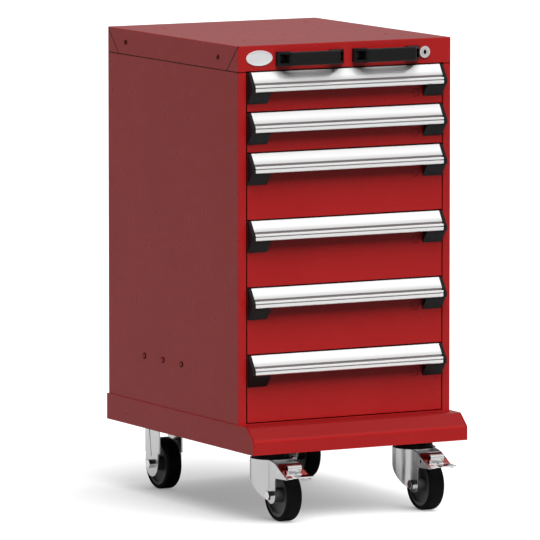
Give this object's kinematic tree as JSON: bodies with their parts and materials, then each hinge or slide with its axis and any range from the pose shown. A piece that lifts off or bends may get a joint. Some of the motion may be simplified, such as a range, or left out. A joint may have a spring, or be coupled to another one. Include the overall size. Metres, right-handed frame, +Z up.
{
  "type": "mobile drawer cabinet",
  "caption": "Mobile steel tool cabinet: full-extension drawers with aluminium grips, key lock with locking bar, pulls, bumper base, rigid and braked swivel casters.",
  "frame": {"origin": "on the floor, at the middle of the footprint over the base and the brake pedals", "axes": "+X to the right seen from the front, +Y to the back, +Z up; drawers open towards -Y"},
  "size_m": [0.463, 0.6536, 0.8947],
  "materials": {
    "red_paint": "smooth red powder coat, semi-gloss",
    "anodised_aluminium": "satin anodised extrusion",
    "black_plastic": "fine moulded texture",
    "zinc_steel": "bright zinc plating",
    "bright_chrome": "bright plating",
    "hub_plastic": "moulded dark grey plastic",
    "black_rubber": "matt black tread rubber"
  },
  "bodies": {
    "cabinet": {"left_side_panel": "red_paint", "right_side_panel": "red_paint", "back_panel": "red_paint", "bottom_panel": "red_paint", "top_cover": "red_paint", "cover_screws": "red_paint", "side_plugs": "red_paint", "mobile_base": "red_paint", "cabinet_rails": "zinc_steel", "left_pull": "black_plastic", "right_pull": "black_plastic", "pull_screws": "zinc_steel", "lock_body": "bright_chrome", "swivel_plates": "zinc_steel", "swivel_seals": "black_plastic", "kingpins": "zinc_steel", "rigid_forks": "bright_chrome", "rigid_axles": "zinc_steel", "caster_bolts": "zinc_steel"},
    "drawer_1": {"drawer_1_box": "red_paint", "drawer_1_grip": "anodised_aluminium", "drawer_1_end_caps": "black_plastic"},
    "slide_1": {"carriage_1": "zinc_steel"},
    "drawer_2": {"drawer_2_box": "red_paint", "drawer_2_grip": "anodised_aluminium", "drawer_2_end_caps": "black_plastic"},
    "slide_2": {"carriage_2": "zinc_steel"},
    "drawer_3": {"drawer_3_box": "red_paint", "drawer_3_grip": "anodised_aluminium", "drawer_3_end_caps": "black_plastic"},
    "slide_3": {"carriage_3": "zinc_steel"},
    "drawer_4": {"drawer_4_box": "red_paint", "drawer_4_grip": "anodised_aluminium", "drawer_4_end_caps": "black_plastic"},
    "slide_4": {"carriage_4": "zinc_steel"},
    "drawer_5": {"drawer_5_box": "red_paint", "drawer_5_grip": "anodised_aluminium", "drawer_5_end_caps": "black_plastic"},
    "slide_5": {"carriage_5": "zinc_steel"},
    "drawer_6": {"drawer_6_box": "red_paint", "drawer_6_grip": "anodised_aluminium", "drawer_6_end_caps": "black_plastic"},
    "slide_6": {"carriage_6": "zinc_steel"},
    "lock": {"lock_plug": "bright_chrome", "lock_cam": "zinc_steel"},
    "locking_bar": {"lock_bar": "zinc_steel"},
    "left_swivel": {"left_swivel_fork": "bright_chrome", "left_swivel_axle": "zinc_steel"},
    "left_brake": {"left_brake_pedal": "bright_chrome"},
    "front_left_wheel": {"front_left_hub": "hub_plastic", "front_left_tyre": "black_rubber"},
    "rear_left_wheel": {"rear_left_hub": "hub_plastic", "rear_left_tyre": "black_rubber"},
    "right_swivel": {"right_swivel_fork": "bright_chrome", "right_swivel_axle": "zinc_steel"},
    "right_brake": {"right_brake_pedal": "bright_chrome"},
    "front_right_wheel": {"front_right_hub": "hub_plastic", "front_right_tyre": "black_rubber"},
    "rear_right_wheel": {"rear_right_hub": "hub_plastic", "rear_right_tyre": "black_rubber"}
  },
  "joints": [
    {"name": "drawer_1_slide", "type": "slide", "parent": "cabinet", "child": "drawer_1", "axis": [0, -1, 0], "range_m": [0, 0.45]},
    {"name": "carriage_1_slide", "type": "slide", "parent": "cabinet", "child": "slide_1", "axis": [0, -1, 0], "range_m": [0, 0.225]},
    {"name": "drawer_2_slide", "type": "slide", "parent": "cabinet", "child": "drawer_2", "axis": [0, -1, 0], "range_m": [0, 0.45]},
    {"name": "carriage_2_slide", "type": "slide", "parent": "cabinet", "child": "slide_2", "axis": [0, -1, 0], "range_m": [0, 0.225]},
    {"name": "drawer_3_slide", "type": "slide", "parent": "cabinet", "child": "drawer_3", "axis": [0, -1, 0], "range_m": [0, 0.45]},
    {"name": "carriage_3_slide", "type": "slide", "parent": "cabinet", "child": "slide_3", "axis": [0, -1, 0], "range_m": [0, 0.225]},
    {"name": "drawer_4_slide", "type": "slide", "parent": "cabinet", "child": "drawer_4", "axis": [0, -1, 0], "range_m": [0, 0.45]},
    {"name": "carriage_4_slide", "type": "slide", "parent": "cabinet", "child": "slide_4", "axis": [0, -1, 0], "range_m": [0, 0.225]},
    {"name": "drawer_5_slide", "type": "slide", "parent": "cabinet", "child": "drawer_5", "axis": [0, -1, 0], "range_m": [0, 0.45]},
    {"name": "carriage_5_slide", "type": "slide", "parent": "cabinet", "child": "slide_5", "axis": [0, -1, 0], "range_m": [0, 0.225]},
    {"name": "drawer_6_slide", "type": "slide", "parent": "cabinet", "child": "drawer_6", "axis": [0, -1, 0], "range_m": [0, 0.45]},
    {"name": "carriage_6_slide", "type": "slide", "parent": "cabinet", "child": "slide_6", "axis": [0, -1, 0], "range_m": [0, 0.225]},
    {"name": "lock_turn", "type": "hinge", "parent": "cabinet", "child": "lock", "pos_m": [0.1707, -0.20885, 0.8688], "axis": [0, 1, 0], "range_deg": [0, 90]},
    {"name": "lock_bar_slide", "type": "slide", "parent": "cabinet", "child": "locking_bar", "axis": [0, 0, -1], "range_m": [0, 0.01202]},
    {"name": "left_caster_swivel", "type": "hinge", "parent": "cabinet", "child": "left_swivel", "pos_m": [-0.1537, -0.20285, 0.1], "axis": [0, 0, 1], "continuous": true},
    {"name": "left_brake_press", "type": "hinge", "parent": "left_swivel", "child": "left_brake", "pos_m": [-0.1537, -0.27485, 0.097], "axis": [1, 0, 0], "range_deg": [0, 9.5]},
    {"name": "front_left_roll", "type": "hinge", "parent": "left_swivel", "child": "front_left_wheel", "pos_m": [-0.1537, -0.24685, 0.05], "axis": [1, 0, 0], "continuous": true},
    {"name": "rear_left_roll", "type": "hinge", "parent": "cabinet", "child": "rear_left_wheel", "pos_m": [-0.1537, 0.23845, 0.05], "axis": [1, 0, 0], "continuous": true},
    {"name": "right_caster_swivel", "type": "hinge", "parent": "cabinet", "child": "right_swivel", "pos_m": [0.1537, -0.20285, 0.1], "axis": [0, 0, 1], "continuous": true},
    {"name": "right_brake_press", "type": "hinge", "parent": "right_swivel", "child": "right_brake", "pos_m": [0.1537, -0.27485, 0.097], "axis": [1, 0, 0], "range_deg": [0, 9.5]},
    {"name": "front_right_roll", "type": "hinge", "parent": "right_swivel", "child": "front_right_wheel", "pos_m": [0.1537, -0.24685, 0.05], "axis": [1, 0, 0], "continuous": true},
    {"name": "rear_right_roll", "type": "hinge", "parent": "cabinet", "child": "rear_right_wheel", "pos_m": [0.1537, 0.23845, 0.05], "axis": [1, 0, 0], "continuous": true}
  ],
  "couplings": [
    {"joint": "carriage_1_slide", "follows": "drawer_1_slide", "ratio": 0.5},
    {"joint": "carriage_2_slide", "follows": "drawer_2_slide", "ratio": 0.5},
    {"joint": "carriage_3_slide", "follows": "drawer_3_slide", "ratio": 0.5},
    {"joint": "carriage_4_slide", "follows": "drawer_4_slide", "ratio": 0.5},
    {"joint": "carriage_5_slide", "follows": "drawer_5_slide", "ratio": 0.5},
    {"joint": "carriage_6_slide", "follows": "drawer_6_slide", "ratio": 0.5},
    {"joint": "lock_turn", "follows": "lock_bar_slide", "rad_per_m": 130.67}
  ]
}
